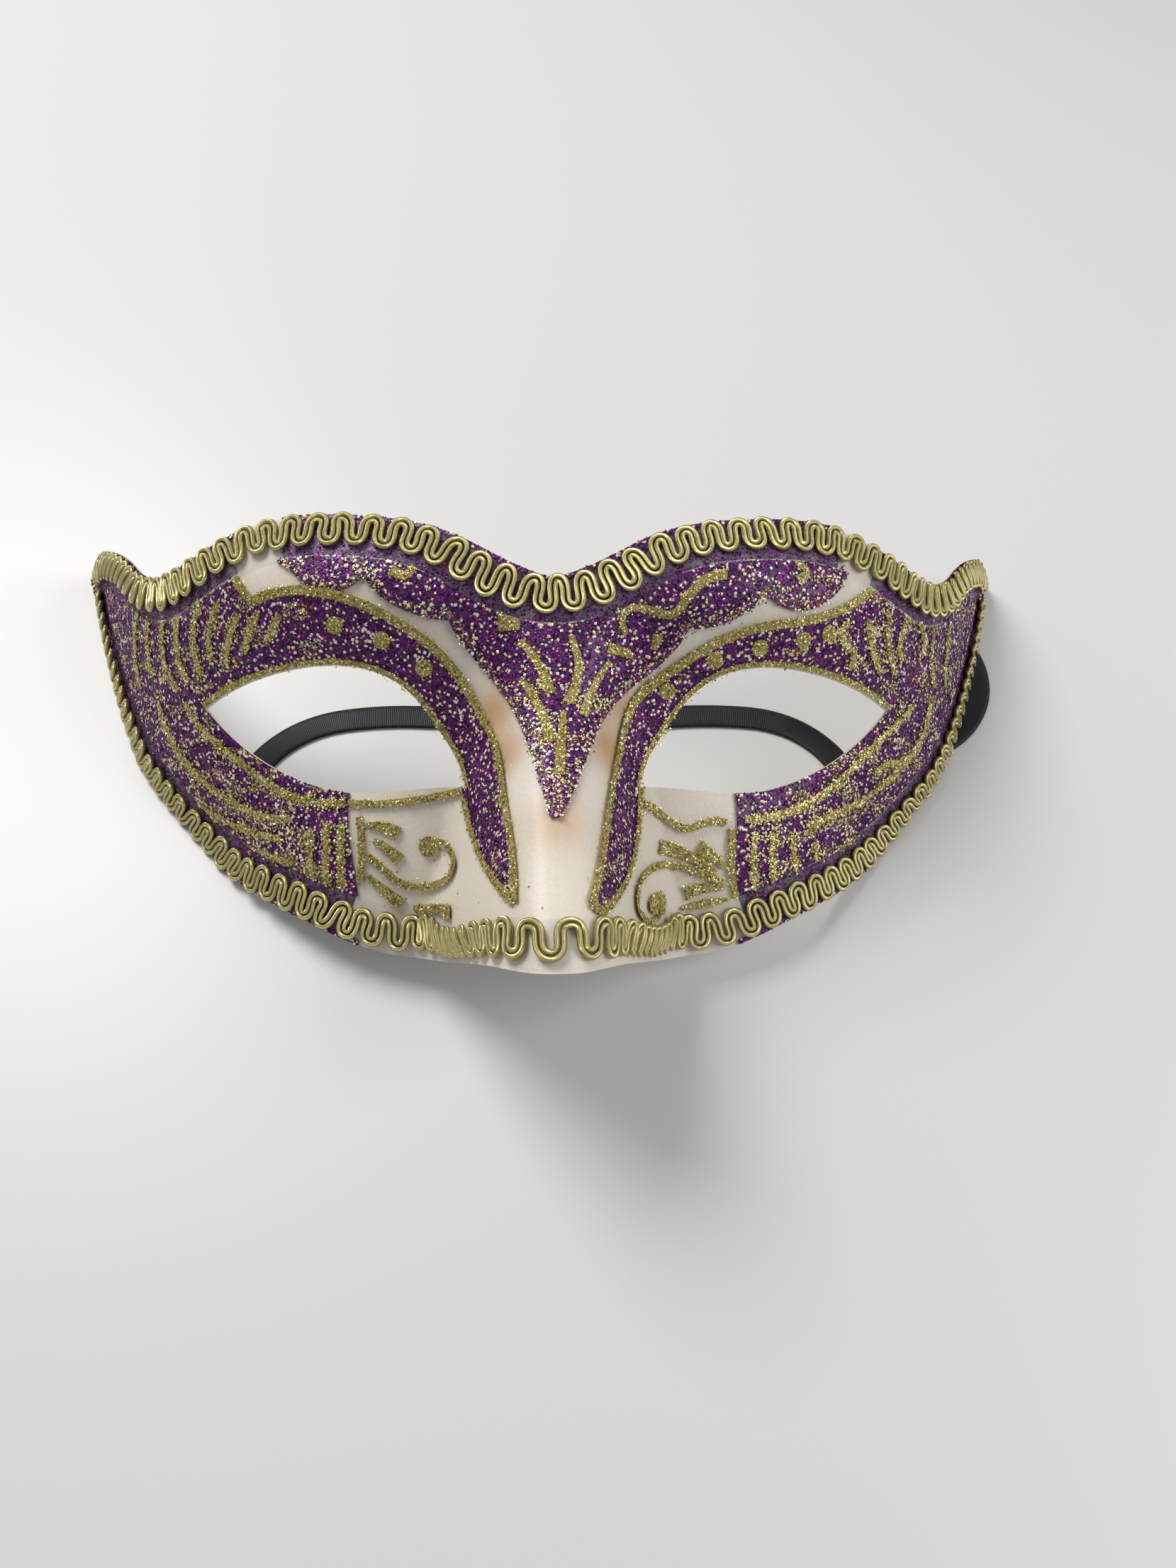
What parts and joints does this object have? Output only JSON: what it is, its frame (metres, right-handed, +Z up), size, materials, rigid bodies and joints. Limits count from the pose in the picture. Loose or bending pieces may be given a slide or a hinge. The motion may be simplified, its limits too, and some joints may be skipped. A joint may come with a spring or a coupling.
{
  "type": "venetian masquerade mask",
  "caption": "Moulded half mask with eye holes, purple and gold glitter painting, gold braid edging and black ribbon ties, lying face up on its side edges.",
  "frame": {"origin": "middle of the mask's footprint on the surface it lies on", "axes": "+X to the right of the mask as it is seen from its front, +Y from the nose towards the horns, +Z up"},
  "size_m": [0.1798, 0.1053, 0.0511],
  "materials": {
    "shell_plastic": "satin pearl white with soft peach shading",
    "purple_glitter": "raised glitter paint, deep purple and magenta flakes with pale sparks",
    "gold_glitter": "raised gold glitter paint",
    "gold_braid": "metallic gold cord laid in tight waves",
    "clear_glue": "clear dried glue",
    "black_ribbon": "black satin weave"
  },
  "bodies": {
    "root": {"gold_brow_edging": "gold_glitter", "gold_brow_flames": "gold_glitter", "gold_left_cheek_lines": "gold_glitter", "gold_left_dots": "gold_glitter", "gold_left_eye_edging": "gold_glitter", "gold_left_scrolls": "gold_glitter", "gold_left_temple_strokes": "gold_glitter", "gold_right_cheek_lines": "gold_glitter", "gold_right_dots": "gold_glitter", "gold_right_eye_edging": "gold_glitter", "gold_right_scrolls": "gold_glitter", "gold_right_temple_strokes": "gold_glitter", "left_ribbon": "black_ribbon", "left_ribbon_glue": "clear_glue", "lower_braid": "gold_braid", "lower_braid_glue_film": "clear_glue", "mask_shell": "shell_plastic", "purple_glitter_brow": "purple_glitter", "purple_glitter_left_eye": "purple_glitter", "purple_glitter_right_eye": "purple_glitter", "right_ribbon": "black_ribbon", "right_ribbon_glue": "clear_glue", "upper_braid": "gold_braid", "upper_braid_glue_film": "clear_glue"}
  },
  "joints": []
}
